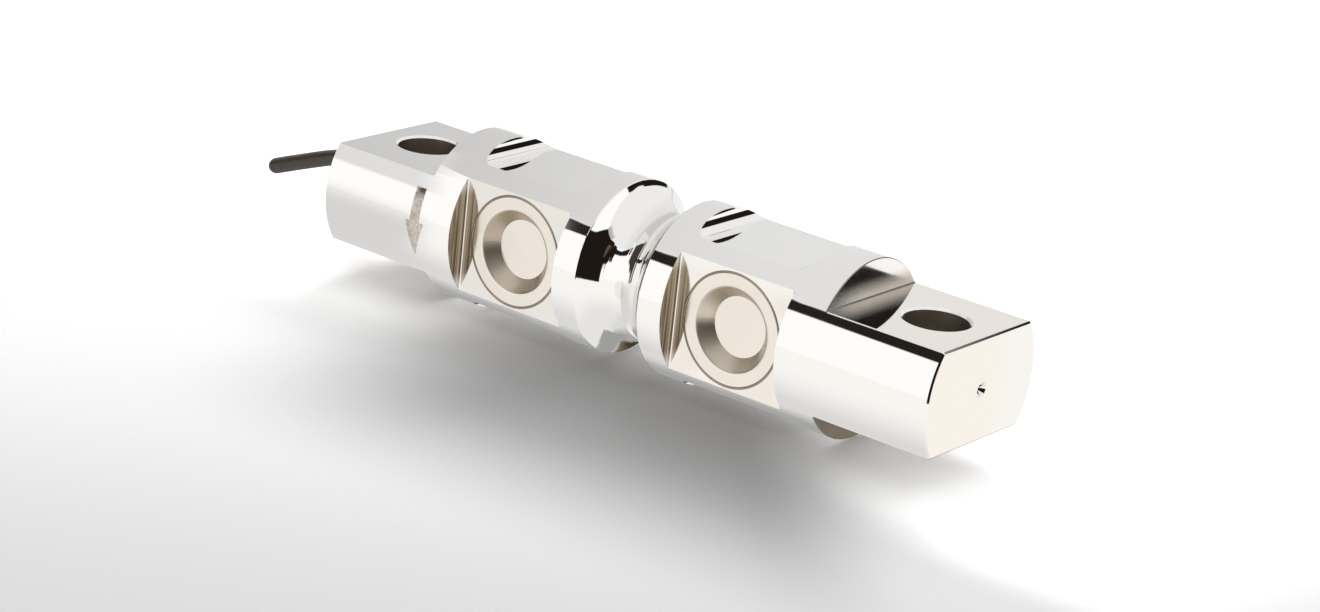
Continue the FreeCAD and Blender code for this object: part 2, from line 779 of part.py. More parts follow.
def check_document(pieces):
    """Stop before anything is written if the document holds an error or a bad shape."""
    for thing in doc.Objects:
        if "Invalid" in thing.State or "Error" in thing.State:
            raise RuntimeError(f"{thing.Name} failed: {thing.State}")
    for piece in pieces:
        shape = piece.Shape
        if shape.isNull() or not shape.isValid() or not shape.Solids:
            raise RuntimeError(f"{piece.Label} has no valid solid")


parts = make_all()
doc.recompute()
check_document(parts)
os.makedirs("parts", exist_ok=True)
for part in parts:
    part.Shape.exportStep(f"parts/{part.Label}.step")
print(f"{len(parts)} parts written")
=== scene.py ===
import json
import math

import bpy
from mathutils import Euler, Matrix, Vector


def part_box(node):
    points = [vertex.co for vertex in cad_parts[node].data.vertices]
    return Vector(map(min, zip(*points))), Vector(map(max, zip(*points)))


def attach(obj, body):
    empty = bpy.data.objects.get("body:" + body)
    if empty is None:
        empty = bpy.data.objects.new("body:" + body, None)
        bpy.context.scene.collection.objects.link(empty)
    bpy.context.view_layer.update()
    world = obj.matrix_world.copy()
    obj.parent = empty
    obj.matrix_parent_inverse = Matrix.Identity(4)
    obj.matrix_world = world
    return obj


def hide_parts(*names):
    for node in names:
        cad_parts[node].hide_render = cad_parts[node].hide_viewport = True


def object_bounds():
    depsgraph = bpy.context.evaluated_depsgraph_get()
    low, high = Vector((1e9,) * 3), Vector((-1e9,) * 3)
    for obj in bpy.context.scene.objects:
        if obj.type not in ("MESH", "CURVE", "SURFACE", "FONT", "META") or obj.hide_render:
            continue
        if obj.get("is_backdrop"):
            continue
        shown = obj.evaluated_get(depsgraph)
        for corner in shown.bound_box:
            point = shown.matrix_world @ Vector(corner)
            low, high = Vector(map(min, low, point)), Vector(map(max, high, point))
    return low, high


# Double ended beam load cell: a mirror-polished bar on a white table. Metres, in the part's frame:
# X runs along the bar, -Y is the front, +Z is up.

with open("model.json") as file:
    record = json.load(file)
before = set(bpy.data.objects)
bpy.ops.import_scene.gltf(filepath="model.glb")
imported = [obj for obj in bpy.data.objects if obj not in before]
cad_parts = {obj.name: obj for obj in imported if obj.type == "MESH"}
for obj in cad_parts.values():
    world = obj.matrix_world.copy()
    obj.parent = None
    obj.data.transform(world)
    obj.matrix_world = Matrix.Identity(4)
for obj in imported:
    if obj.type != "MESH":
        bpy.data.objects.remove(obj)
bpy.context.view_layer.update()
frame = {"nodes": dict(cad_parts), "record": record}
MM = 0.001

# Places on the bar
_, bar_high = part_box("beam_body")
radius, half_length = bar_high[2], bar_high[0]
mounts = {mount["name"]: mount for mount in frame["record"]["mounts"]}
bolt_x = mounts["bolt_hole_right"]["pos_m"][0]
bolt_radius = mounts["bolt_hole_right"]["dims"]["r_mm"] * MM
end_top = mounts["seat_right_top"]["pos_m"][2]
cover_low, cover_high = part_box("cover_right_front")
pocket_x = (cover_low[0] + cover_high[0]) / 2
side_y = -cover_low[1]
STEP_X = 84.5 * MM
STEP_BAND = (80.0 * MM, 90.0 * MM)
FLATS_BAND = (20.0 * MM, 75.0 * MM)
TOP_WALL_BAND = (18.6 * MM, 23.6 * MM)
TOP_WALL_FOOT = 25.3 * MM
BEAD_RADIUS = 19.45 * MM


# Node helpers
def feed(tree, socket, value):
    """Set a socket, or link it where the value is another socket."""
    if isinstance(value, bpy.types.NodeSocket):
        tree.links.new(value, socket)
    else:
        socket.default_value = value


def add_node(tree, kind, inputs=None, **settings):
    made = tree.nodes.new(kind)
    for name, value in settings.items():
        setattr(made, name, value)
    for name, value in (inputs or {}).items():
        feed(tree, made.inputs[name], value)
    return made


def calc(tree, operation, *values):
    made = add_node(tree, "ShaderNodeMath", operation=operation)
    for socket, value in zip(made.inputs, values):
        feed(tree, socket, value)
    return made.outputs[0]


def all_of(tree, *shares):
    """The shares multiplied."""
    product = shares[0]
    for share in shares[1:]:
        product = calc(tree, "MULTIPLY", product, share)
    return product


def ramp(tree, value, start, end, low=0.0, high=1.0):
    """low before start, high after end, and a smooth change between."""
    made = add_node(tree, "ShaderNodeMapRange", interpolation_type="SMOOTHSTEP")
    for socket, number in zip(made.inputs, (value, start, end, low, high)):
        feed(tree, socket, number)
    return made.outputs[0]


def between(tree, value, start, end, soft):
    """1 between start and end, with soft edges outside them."""
    return all_of(tree, ramp(tree, value, start - soft, start), ramp(tree, value, end, end + soft, 1.0, 0.0))


def length_2d(tree, first, second):
    squares = calc(tree, "ADD", all_of(tree, first, first), all_of(tree, second, second))
    return calc(tree, "SQRT", squares)


def parts_of(tree, vector):
    """X, Y and Z of a vector."""
    return add_node(tree, "ShaderNodeSeparateXYZ", {"Vector": vector}).outputs


def coordinates(tree, kind):
    return add_node(tree, "ShaderNodeTexCoord").outputs[kind]


def mix_colour(tree, share, first, second, blend="MIX"):
    made = add_node(tree, "ShaderNodeMix", data_type="RGBA", blend_type=blend)
    for number, value in ((0, share), (6, first), (7, second)):
        if isinstance(value, tuple):
            value = (*value, 1.0)
        feed(tree, made.inputs[number], value)
    return made.outputs[2]


def grey(level):
    return (level, level, level)


def noise(tree, place, scale, detail=3.0, stretch=None):
    """Noise by place in the part. stretch squeezes the pattern along X, Y and Z."""
    if stretch is not None:
        place = add_node(tree, "ShaderNodeMapping", {"Vector": place, "Scale": stretch}).outputs[0]
    return add_node(tree, "ShaderNodeTexNoise",
                    {"Vector": place, "Scale": scale, "Detail": detail}).outputs["Fac"]


def new_material(name, base, roughness, metallic=0.0):
    material = bpy.data.materials.new(name)
    material.use_nodes = True
    tree = material.node_tree
    shader = tree.nodes["Principled BSDF"]
    shader.inputs["Base Color"].default_value = (*base, 1.0)
    shader.inputs["Roughness"].default_value = roughness
    shader.inputs["Metallic"].default_value = metallic
    return material, tree, shader, coordinates(tree, "Object")


def add_bump(tree, shader, height, strength, distance):
    bump = add_node(tree, "ShaderNodeBump",
                    {"Height": height, "Strength": strength, "Distance": distance})
    tree.links.new(bump.outputs[0], shader.inputs["Normal"])


def wear(tree, shader, place, scale, low, high):
    """Roughness that wanders between low and high."""
    feed(tree, shader.inputs["Roughness"], ramp(tree, noise(tree, place, scale), 0.3, 0.7, low, high))


# Steel of the bar and the covers: (red, green, blue) for each finish, and for the painted glow, shade and
# reflections
POLISHED = (0.90, 0.89, 0.87)
GROUND = (0.84, 0.785, 0.715)
GROUND_LEFT_SHADE = (0.775, 0.755, 0.725)
DRAWN_REFLECTION = (0.80, 0.72, 0.60)
DRAWN_SHADE = (0.60, 0.52, 0.41)
MILLED_DARK_AND_SHADE = (0.10, 0.075, 0.05)
MILLED_LIGHT_REFLECTION = (0.52, 0.43, 0.30)
UNDER_SHADE = (0.17, 0.14, 0.10)
FOOT_GLOW = (0.78, 0.63, 0.43)
FOOT_GLOW_LIGHT = (1.0, 0.92, 0.78)
END_REFLECTION = (0.90, 0.85, 0.79)
HEAT_TINT = (0.17, 0.125, 0.085)
DRILLED = (0.46, 0.41, 0.35)
ETCHED = (0.62, 0.57, 0.48)
ETCHED_LIGHT = (0.76, 0.72, 0.66)

# Width of the weld's heat tint to either side of the bead, its soft edge and how far out on Y it starts
TINT_HALF, TINT_SOFT, TINT_FROM = 0.42 * MM, 0.12 * MM, 22.0 * MM
TINT_SHARE = 0.8


def weld_tint(tree, place):
    """The share of heat tint, along the ring where the weld stained the steel."""
    x, y, z = parts_of(tree, place)
    from_cover = calc(tree, "SUBTRACT", calc(tree, "ABSOLUTE", x), pocket_x)
    ring = length_2d(tree, from_cover, z)
    return all_of(tree, between(tree, ring, BEAD_RADIUS - TINT_HALF, BEAD_RADIUS + TINT_HALF, TINT_SOFT),
                  ramp(tree, calc(tree, "ABSOLUTE", y), TINT_FROM, TINT_FROM + 0.2 * MM), TINT_SHARE)


# Beam: mirror polish, with turning and milling marks where the tools left them, and painted glow, shade and
# reflections
def beam_material():
    material, tree, shader, place = new_material("beam_steel", POLISHED, 0.03, 1.0)
    x, y, z = parts_of(tree, place)
    away, side, up = (calc(tree, "ABSOLUTE", value) for value in (x, y, z))
    normal = parts_of(tree, coordinates(tree, "Normal"))
    faces_end, faces_side = (calc(tree, "ABSOLUTE", normal[number]) for number in (0, 1))

    # Walls that the side of an end mill cut: rough beside the side flats, finer at the steps. Beside the
    # side flats their milling streaks are painted brown to near black, a painted reflection.
    upright = ramp(tree, faces_end, 0.90, 0.99)
    side_wall = all_of(tree, ramp(tree, faces_end, 0.45, 0.80), between(tree, away, *FLATS_BAND, 1.0 * MM),
                       ramp(tree, side, side_y - 0.2 * MM, side_y),
                       ramp(tree, up, 13.0 * MM, 19.0 * MM, 1.0, 0.45))
    step_wall = all_of(tree, upright, between(tree, away, *STEP_BAND, 1.0 * MM))
    # Painted shade: the lower half of each step wall is darkened, standing for the shaded table it mirrors
    under = all_of(tree, step_wall, ramp(tree, z, 0.0, -1.0 * MM))
    # Painted shade: a dark line along the rounded crease at the foot of each step wall
    crease = all_of(tree, between(tree, away, STEP_X - 0.3 * MM, STEP_X + 1.4 * MM, 0.1 * MM),
                    between(tree, faces_end, 0.15, 0.96, 0.03))
    streaks = noise(tree, place, 1.0, stretch=(1.0, 620.0, 9.0))
    milled_and_reflection = mix_colour(tree, ramp(tree, streaks, 0.36, 0.62), MILLED_DARK_AND_SHADE, MILLED_LIGHT_REFLECTION)

    # A golden glow is painted at the foot of each step wall, with the steel dull there, more so to the back
    foot = end_top + 0.5 * MM
    painted_glow = all_of(tree, step_wall, ramp(tree, up, foot, foot + 7.0 * MM, 1.0, 0.0),
                  ramp(tree, y, -26.0 * MM, -4.0 * MM, 0.25, 1.0))
    golden_glow = mix_colour(tree, ramp(tree, up, foot, foot + 4.0 * MM), FOOT_GLOW_LIGHT, FOOT_GLOW)

    # Side flats are ground: warmer and duller than the polish, and plainer and greyer at the left, a painted
    # reflection of the shaded table there
    side_flat = all_of(tree, ramp(tree, faces_side, 0.985, 0.995),
                       between(tree, side, side_y - 0.3 * MM, side_y + 0.3 * MM, 0.2 * MM))
    clouds = noise(tree, place, 70.0, detail=4.0)
    warm = all_of(tree, side_flat, ramp(tree, clouds, 0.36, 0.66, 0.10, 0.95),
                  ramp(tree, z, 13.0 * MM, 20.0 * MM, 1.0, 0.25))
    left_flat_shade = all_of(tree, side_flat, ramp(tree, x, 20.0 * MM, -20.0 * MM, 0.0, 0.9))

    # Fine cutter lines on the end walls of the top and bottom flats
    from_middle = calc(tree, "ABSOLUTE", calc(tree, "SUBTRACT", away, pocket_x))
    top_wall = all_of(tree, between(tree, from_middle, *TOP_WALL_BAND, 0.2 * MM),
                      ramp(tree, up, TOP_WALL_FOOT, TOP_WALL_FOOT + 0.3 * MM))
    lines = ramp(tree, noise(tree, place, 1.0, detail=2.0, stretch=(1300.0, 6.0, 1300.0)), 0.60, 0.68)
    lines = all_of(tree, lines, top_wall, ramp(tree, faces_end, 0.10, 0.35))

    # The end faces are ground, with a painted warm reflection at the front
    warm_reflection = all_of(tree, upright, ramp(tree, away, half_length - 0.6 * MM, half_length - 0.4 * MM),
                  ramp(tree, y, 4.0 * MM, 22.0 * MM, 1.0, 0.15))

    # Turning marks in the ring groove: fine all over, coarse at the neck
    groove = ramp(tree, away, 4.0 * MM, 12.0 * MM, 1.0, 0.0)
    neck = ramp(tree, away, 7.5 * MM, 9.5 * MM, 1.0, 0.0)
    rings = noise(tree, place, 1.0, stretch=(1100.0, 3.0, 3.0))
    scores = ramp(tree, noise(tree, place, 1.0, detail=1.0, stretch=(620.0, 14.0, 14.0)), 0.42, 0.58)

    # Bolt holes are drilled, not polished
    across = length_2d(tree, calc(tree, "SUBTRACT", away, bolt_x), y)
    drilled = all_of(tree, ramp(tree, across, bolt_radius + 0.1 * MM, bolt_radius + 0.3 * MM, 1.0, 0.0),
                     ramp(tree, up, end_top - 0.9 * MM, end_top - 0.7 * MM, 1.0, 0.0))

    colour = POLISHED
    for share, layer in ((warm, GROUND), (left_flat_shade, GROUND_LEFT_SHADE), (all_of(tree, lines, 0.75), MILLED_DARK_AND_SHADE),
                         (side_wall, milled_and_reflection), (all_of(tree, painted_glow, 0.9), golden_glow), (under, UNDER_SHADE),
                         (all_of(tree, crease, 0.8), MILLED_DARK_AND_SHADE), (all_of(tree, warm_reflection, 0.9), END_REFLECTION),
                         (drilled, DRILLED), (weld_tint(tree, place), HEAT_TINT)):
        colour = mix_colour(tree, share, colour, layer)
    feed(tree, shader.inputs["Base Color"], colour)

    rough = ramp(tree, noise(tree, place, 18.0), 0.35, 0.75, 0.02, 0.05)
    for share, added in ((side_wall, 0.22), (step_wall, 0.05), (painted_glow, 0.28), (under, 0.25),
                         (crease, 0.30), (side_flat, 0.05), (drilled, 0.35)):
        rough = calc(tree, "MULTIPLY_ADD", share, added, rough)
    feed(tree, shader.inputs["Roughness"], rough)
    feed(tree, shader.inputs["Metallic"], calc(tree, "MULTIPLY_ADD", painted_glow, -0.95, 1.0))

    height = all_of(tree, noise(tree, place, 30.0, detail=1.0), 0.05)
    for pattern, where, depth in ((rings, groove, 1.1), (scores, neck, 1.6), (streaks, side_wall, 1.0),
                                  (streaks, step_wall, 0.15)):
        height = calc(tree, "MULTIPLY_ADD", all_of(tree, pattern, where), depth, height)
    add_bump(tree, shader, height, 0.25, 0.05 * MM)
    return material


FINE_GRAIN, FINE_GRAIN_DEPTH = 2200.0, 0.02 * MM


def cover_material():
    """Pressed sheet: a plain rim and floor, and a wall with a painted brown reflection, darkened towards its
    top as painted shade.
    """
    material, tree, shader, place = new_material("cover_steel", GROUND, 0.16, 1.0)
    faces_side = parts_of(tree, coordinates(tree, "Normal"))[1]
    up = parts_of(tree, place)[2]
    drawn = ramp(tree, calc(tree, "ABSOLUTE", faces_side), 0.90, 0.985, 1.0, 0.0)
    painted_brown = mix_colour(tree, ramp(tree, noise(tree, place, 45.0), 0.35, 0.65), DRAWN_SHADE, DRAWN_REFLECTION)
    painted_brown = mix_colour(tree, ramp(tree, up, 3.0 * MM, 10.0 * MM, 0.0, 0.7), painted_brown, DRAWN_SHADE)
    colour = mix_colour(tree, drawn, GROUND, painted_brown)
    feed(tree, shader.inputs["Base Color"], mix_colour(tree, weld_tint(tree, place), colour, HEAT_TINT))
    rough = ramp(tree, noise(tree, place, 60.0), 0.3, 0.7, 0.12, 0.18)
    feed(tree, shader.inputs["Roughness"], calc(tree, "MULTIPLY_ADD", drawn, 0.20, rough))
    dull = all_of(tree, drawn, ramp(tree, up, -1.0 * MM, -8.0 * MM, 0.1, 0.4))
    feed(tree, shader.inputs["Metallic"], calc(tree, "SUBTRACT", 1.0, dull))
    add_bump(tree, shader, noise(tree, place, FINE_GRAIN, detail=2.0), 0.06, FINE_GRAIN_DEPTH)
    return material


def satin_material(name, base, low, high):
    """Metal with a roughness between low and high."""
    material, tree, shader, place = new_material(name, base, low, 1.0)
    wear(tree, shader, place, 60.0, low, high)
    add_bump(tree, shader, noise(tree, place, FINE_GRAIN, detail=2.0), 0.06, FINE_GRAIN_DEPTH)
    return material


def plain_material(name, base, low, high, grain=0.1, grain_scale=900.0):
    """Anything but metal, with a speckled colour and a roughness between low and high."""
    material, tree, shader, place = new_material(name, base, low)
    wear(tree, shader, place, 90.0, low, high)
    speck = noise(tree, place, grain_scale)
    tint = mix_colour(tree, ramp(tree, speck, 0.3, 0.7),
                      tuple(level * 0.85 for level in base), tuple(level * 1.12 for level in base))
    feed(tree, shader.inputs["Base Color"], tint)
    add_bump(tree, shader, speck, grain, 0.1 * MM)
    return material


# Colour, least and most roughness, and the grain where it isn't the usual one
SATIN = {
    "pillar_brass": ((0.80, 0.60, 0.30), 0.2, 0.3),
    "screw_steel": ((0.70, 0.70, 0.70), 0.2, 0.35),
    "gland_metal": ((0.82, 0.80, 0.76), 0.12, 0.2),
}
PLAIN = {
    "gauge_foil": ((0.72, 0.46, 0.14), 0.35, 0.5),
    "gauge_coat": ((0.74, 0.74, 0.72), 0.3, 0.45),
    "terminal_board": ((0.62, 0.52, 0.26), 0.4, 0.55),
    "trim_board": ((0.03, 0.22, 0.08), 0.3, 0.45),
    "resistor": ((0.05, 0.05, 0.06), 0.35, 0.5),
    "wire_jacket": ((0.60, 0.05, 0.03), 0.4, 0.5),
    "seal_rubber": ((0.02, 0.02, 0.02), 0.5, 0.65),
    "cable_jacket": ((0.054, 0.043, 0.028), 0.28, 0.42, 0.8, 700.0),
}
MATERIALS = {"beam_steel": beam_material(), "cover_steel": cover_material()}
MATERIALS.update({name: satin_material(name, *look) for name, look in SATIN.items()})
MATERIALS.update({name: plain_material(name, *look) for name, look in PLAIN.items()})

for subpart in frame["record"]["subparts"]:
    materials = frame["nodes"][subpart["node"]].data.materials
    materials.clear()
    materials.append(MATERIALS[subpart["material_slot"]])

# Cable: a short black stub out of the gland, on the route of its solid. Each point of the route is a
# share of the reach and a share of the drop.
CABLE_DIAMETER, CABLE_LENGTH = 6.0 * MM, 72.5 * MM
CABLE_REACH, CABLE_DROP = 70.0 * MM, 17.2 * MM
CABLE_ROUTE = [(0, 0), (0.264, 0), (0.529, 0.267), (0.771, 0.634), (0.955, 0.928), (0.985, 0.976), (1, 1)]
CABLE_TIP = 0.70
GLAND_Y = 16.0 * MM
cable_start = half_length + 1.5 * MM

curve = bpy.data.curves.new("signal_cable", "CURVE")
curve.dimensions = "3D"
curve.bevel_depth = CABLE_DIAMETER / 2
curve.bevel_resolution = 8
curve.resolution_u = 24
curve.use_fill_caps = True
spline = curve.splines.new("NURBS")
spline.points.add(len(CABLE_ROUTE) - 1)
for point, (out, down) in zip(spline.points, CABLE_ROUTE):
    point.co = (-cable_start - CABLE_REACH * out, GLAND_Y, -CABLE_DROP * down, 1.0)
spline.points[-1].radius = CABLE_TIP
spline.order_u = 3
spline.use_endpoint_u = True
cable = bpy.data.objects.new("signal_cable", curve)
bpy.context.collection.objects.link(cable)
cable.data.materials.append(MATERIALS["cable_jacket"])
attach(cable, "root")
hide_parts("cable")


def add_piece(name, points, faces, material):
    """A mesh piece that rides on the bar."""
    data = bpy.data.meshes.new(name)
    data.from_pydata(points, [], faces)
    data.update()
    for face in data.polygons:
        face.use_smooth = True
    piece = bpy.data.objects.new(name, data)
    bpy.context.collection.objects.link(piece)
    data.materials.append(material)
    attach(piece, "root")


# Weld bead in the gap round each cover
BEAD_WIDTH, BEAD_HEIGHT, BEAD_ROOT = 0.56 * MM, 0.16 * MM, 0.45 * MM
RIPPLES, RIPPLE = 96, 0.03 * MM
BEAD_AROUND, BEAD_ACROSS = 4 * RIPPLES, 9
weld = satin_material("weld_bead", (0.50, 0.42, 0.32), 0.25, 0.38)


def add_bead(name, x, y, outward):
    points, faces = [], []
    for turn_number in range(BEAD_AROUND):
        turned = math.tau * turn_number / BEAD_AROUND
        swell = RIPPLE * math.cos(RIPPLES * turned)
        for step in range(BEAD_ACROSS):
            lean = math.pi * (step / (BEAD_ACROSS - 1) - 0.5)
            out = BEAD_RADIUS + BEAD_WIDTH / 2 * math.sin(lean)
            rise = (BEAD_HEIGHT + BEAD_ROOT + swell) * math.cos(lean) - BEAD_ROOT
            points.append((x + out * math.cos(turned), y + outward * rise, out * math.sin(turned)))
    for turn_number in range(BEAD_AROUND):
        here = turn_number * BEAD_ACROSS
        there = (turn_number + 1) % BEAD_AROUND * BEAD_ACROSS
        for step in range(BEAD_ACROSS):
            after = (step + 1) % BEAD_ACROSS
            face = (here + step, there + step, there + after, here + after)
            faces.append(face if outward < 0 else face[::-1])
    add_piece(name, points, faces, weld)


for cover in ("left_front", "right_front", "left_back", "right_back"):
    low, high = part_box(f"cover_{cover}")
    outward = -1 if low[1] < 0 else 1
    add_bead(f"weld_{cover}", (low[0] + high[0]) / 2, low[1] if outward < 0 else high[1], outward)

# Load arrow, etched into the front of the left end. It points down. Each strip runs between two ends,
# given as the arc length round the bar from its side and the half width there.
ARROW_X, ARROW_PROUD, ARROW_ROWS = -86.9 * MM, 0.03 * MM, 24
SHAFT_HALF, HEAD_HALF, TIP_HALF = 2.1 * MM, 4.2 * MM, 0.05 * MM
SHAFT_TOP, HEAD_TOP, ARROW_TIP = 13.7 * MM, 1.3 * MM, -11.4 * MM
ARROW_STRIPS = (((SHAFT_TOP, SHAFT_HALF), (HEAD_TOP, SHAFT_HALF)),
                ((HEAD_TOP, HEAD_HALF), (ARROW_TIP, TIP_HALF)))


def etched_material():
    """Rough and speckled, and burnt at the arrow's top."""
    material, tree, shader, place = new_material("etched_mark", ETCHED, 0.45, 1.0)
    wear(tree, shader, place, 400.0, 0.35, 0.6)
    burnt = all_of(tree, ramp(tree, parts_of(tree, place)[2], 10.0 * MM, 12.5 * MM),
                   ramp(tree, noise(tree, place, 500.0), 0.35, 0.55))
    specked = mix_colour(tree, ramp(tree, noise(tree, place, 900.0), 0.40, 0.65), ETCHED, ETCHED_LIGHT)
    feed(tree, shader.inputs["Base Color"], mix_colour(tree, burnt, specked, HEAT_TINT))
    add_bump(tree, shader, noise(tree, place, 6000.0), 0.5, 0.03 * MM)
    return material


def add_arrow(name):
    points, faces = [], []
    reach = radius + ARROW_PROUD
    for (top, top_half), (bottom, bottom_half) in ARROW_STRIPS:
        first = len(points)
        for row in range(ARROW_ROWS + 1):
            share = row / ARROW_ROWS
            angle = (top + (bottom - top) * share) / radius
            wide = top_half + (bottom_half - top_half) * share
            for side in (-1, 1):
                points.append((ARROW_X + side * wide, -reach * math.cos(angle), reach * math.sin(angle)))
        for row in range(ARROW_ROWS):
            corner = first + row * 2
            faces.append((corner, corner + 2, corner + 3, corner + 1))
    add_piece(name, points, faces, etched_material())


add_arrow("load_arrow")


# Table: bright enough to stay white at the back, and a little grey towards the camera
TABLE_REACH = 4.0
TABLE_AWAY, TABLE_TOWARD = grey(1.19), grey(0.91)
TABLE_UNSEEN = grey(0.80)
# Depth of the painted shadow, and the painted light beside the ends
PAINTED_SHADOW_DEPTH = 0.57
PAINTED_LIGHT_LEFT, PAINTED_LIGHT_RIGHT = grey(1.75), grey(1.85)


def table_material():
    material = bpy.data.materials.new("table")
    material.use_nodes = True
    tree = material.node_tree
    tree.nodes.clear()
    rays = add_node(tree, "ShaderNodeLightPath").outputs
    seen = calc(tree, "MAXIMUM", rays["Is Camera Ray"],
                calc(tree, "MAXIMUM", rays["Is Glossy Ray"], rays["Is Transmission Ray"]))
    x, y, _ = parts_of(tree, coordinates(tree, "Object"))
    toward = calc(tree, "SUBTRACT", all_of(tree, x, 0.60), all_of(tree, y, 0.80))
    shown = mix_colour(tree, ramp(tree, toward, 0.0, 0.26), TABLE_AWAY, TABLE_TOWARD)

    # A broad soft shadow is painted on the table in front of the bar's middle
    right_side = calc(tree, "MULTIPLY_ADD", y, 0.89, x)
    front_side = calc(tree, "MULTIPLY_ADD", x, -0.10, y)
    painted_shadow = all_of(tree, ramp(tree, x, -109 * MM, -7 * MM),
                   ramp(tree, right_side, 31 * MM, 95 * MM, 1.0, 0.0),
                   ramp(tree, front_side, -168 * MM, -67 * MM),
                   ramp(tree, y, -25 * MM, 25 * MM, 1.0, 0.0))
    shown = mix_colour(tree, all_of(tree, painted_shadow, PAINTED_SHADOW_DEPTH), shown, grey(0.0))

    # Painted light: the table is painted lighter beside the ends
    close = ramp(tree, y, -72 * MM, -38 * MM)
    left_light_pool = all_of(tree, ramp(tree, x, -50 * MM, -110 * MM), close, ramp(tree, x, -320 * MM, -160 * MM))
    right_light_pool = all_of(tree, ramp(tree, right_side, 55 * MM, 115 * MM), close,
                         ramp(tree, x, 140 * MM, 290 * MM, 1.0, 0.0))
    shown = mix_colour(tree, all_of(tree, left_light_pool, 0.80), shown, PAINTED_LIGHT_LEFT)
    shown = mix_colour(tree, all_of(tree, right_light_pool, 0.85), shown, PAINTED_LIGHT_RIGHT)
    cloth = add_node(tree, "ShaderNodeBsdfDiffuse", {"Color": mix_colour(tree, seen, TABLE_UNSEEN, shown)})
    output = add_node(tree, "ShaderNodeOutputMaterial")
    tree.links.new(cloth.outputs[0], output.inputs["Surface"])
    return material


mesh = bpy.data.meshes.new("table")
corners = [(TABLE_REACH * x, TABLE_REACH * y, -radius) for x, y in ((-1, -1), (1, -1), (1, 1), (-1, 1))]
mesh.from_pydata(corners, [], [(0, 1, 2, 3)])
mesh.materials.append(table_material())
table = bpy.data.objects.new("table", mesh)
bpy.context.collection.objects.link(table)
table.visible_glossy = False
table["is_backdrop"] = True

# Studio: a ceiling of light over white walls, with a dark room at the front right, a dark doorway
# at the back right and a dark gap under the ceiling at the front. The compass is 0 at +X and 90 at +Y,
# and the height is 90 straight up.
WALL = grey(1.10)
TABLE = (1.04, 1.03, 1.01)
TABLE_NEAR = grey(0.86)
LEE, LEE_DEEP, BAR_SHADOW = grey(0.77), grey(0.40), grey(0.38)
PATCH_DARK, PATCH = (0.055, 0.042, 0.028), (0.20, 0.155, 0.10)
CEILING_LEFT, CEILING, CEILING_RIGHT = grey(0.63), grey(0.83), grey(0.93)
DARK = (0.014, 0.010, 0.008)
GAP = (0.020, 0.015, 0.013)
STAND = (0.060, 0.046, 0.034)
PALE_THING = (0.12, 0.095, 0.07)
WARM_SPOT = (0.87, 0.84, 0.80)
EDGE_SLOPE, EDGE_SOFT = 1.19, 0.015
TO_DIFFUSE = grey(0.90)

world = bpy.data.worlds.new("studio")
bpy.context.scene.world = world
world.use_nodes = True
tree = world.node_tree
tree.nodes.clear()
x, y, z = parts_of(tree, coordinates(tree, "Generated"))
compass = calc(tree, "DEGREES", calc(tree, "ARCTAN2", y, x))
height = calc(tree, "DEGREES", calc(tree, "ARCSINE", z))


def window(first, last, low, high, soft=1.0):
    """1 inside a stretch of compass and height, in degrees, with a soft edge."""
    return all_of(tree, ramp(tree, compass, first - soft, first + soft),
                  ramp(tree, compass, last - soft, last + soft, 1.0, 0.0),
                  ramp(tree, height, low - soft, low + soft),
                  ramp(tree, height, high - soft, high + soft, 1.0, 0.0))


def paint(colour, *shares):
    """Lay a colour over the studio where all the shares are 1."""
    global studio
    studio = mix_colour(tree, all_of(tree, *shares), studio, colour)


front, back = ramp(tree, y, 0.02, -0.02), ramp(tree, y, -0.02, 0.02)
far_left = ramp(tree, x, -0.621, -0.631)
sideways = calc(tree, "DIVIDE", y, length_2d(tree, x, y))

# Table below, lighter further out. To the left and behind it is duller, with the bar's own shadow.
studio = mix_colour(tree, ramp(tree, height, -62.0, -24.0), TABLE_NEAR, TABLE)
paint(mix_colour(tree, ramp(tree, sideways, 0.05, 0.75), LEE, LEE_DEEP), ramp(tree, x, -0.10, -0.40),
      ramp(tree, height, -9.0, -20.0), ramp(tree, sideways, -0.75, -0.20))
paint(BAR_SHADOW, window(60, 142, -100, -47, 5.0))
paint(mix_colour(tree, ramp(tree, height, -33.0, -47.0), PATCH_DARK, PATCH), window(88, 124, -47, -26, 2.5))
paint(WALL, ramp(tree, height, -10.0, -7.0))
paint(grey(0.92), ramp(tree, y, 0.0, 0.20), ramp(tree, height, -5.0, -18.0), far_left)
paint(grey(0.74), ramp(tree, y, 0.20, -0.20), far_left, ramp(tree, height, 2.0, -24.0))

# White wall at the right, up to a level top edge
beyond = calc(tree, "SUBTRACT", z, all_of(tree, x, EDGE_SLOPE))
under_edge = ramp(tree, beyond, EDGE_SOFT, -EDGE_SOFT)
paint(WALL, window(-45, 41, 8, 60, 3.0), under_edge)

# Ceiling and back wall, brighter to the right, with a faint line where the wall meets the table
ceiling = mix_colour(tree, ramp(tree, x, -0.66, -0.53), CEILING_LEFT, CEILING)
ceiling = mix_colour(tree, ramp(tree, x, -0.50, -0.10), ceiling, CEILING_RIGHT)
paint(ceiling, back, ramp(tree, beyond, -EDGE_SOFT, EDGE_SOFT), ramp(tree, height, 1.0, 3.0))
paint(CEILING_RIGHT, ramp(tree, y, 0.10, 0.30), ramp(tree, height, -20.0, -14.0),
      ramp(tree, height, 1.5, -0.5), ramp(tree, x, 0.30, 0.0))
paint(grey(0.74), window(88, 132, 1.0, 3.5))
paint(WARM_SPOT, window(116.5, 122.4, 14, 24, 1.2))
on_wall = all_of(tree, window(-45, 41, -90, 60, 3.0), under_edge)
paint(ceiling, ramp(tree, height, 39.5, 41.5), calc(tree, "SUBTRACT", 1.0, on_wall))
paint(grey(0.50), window(-62, -28, 43, 51, 3.0))
paint(WALL, front, ramp(tree, x, -0.596, -0.602), ramp(tree, height, 20.0, 24.0),
      ramp(tree, height, 44.0, 46.0, 1.0, 0.0))
paint(grey(0.82), front, far_left, ramp(tree, height, 18.0, 21.0))

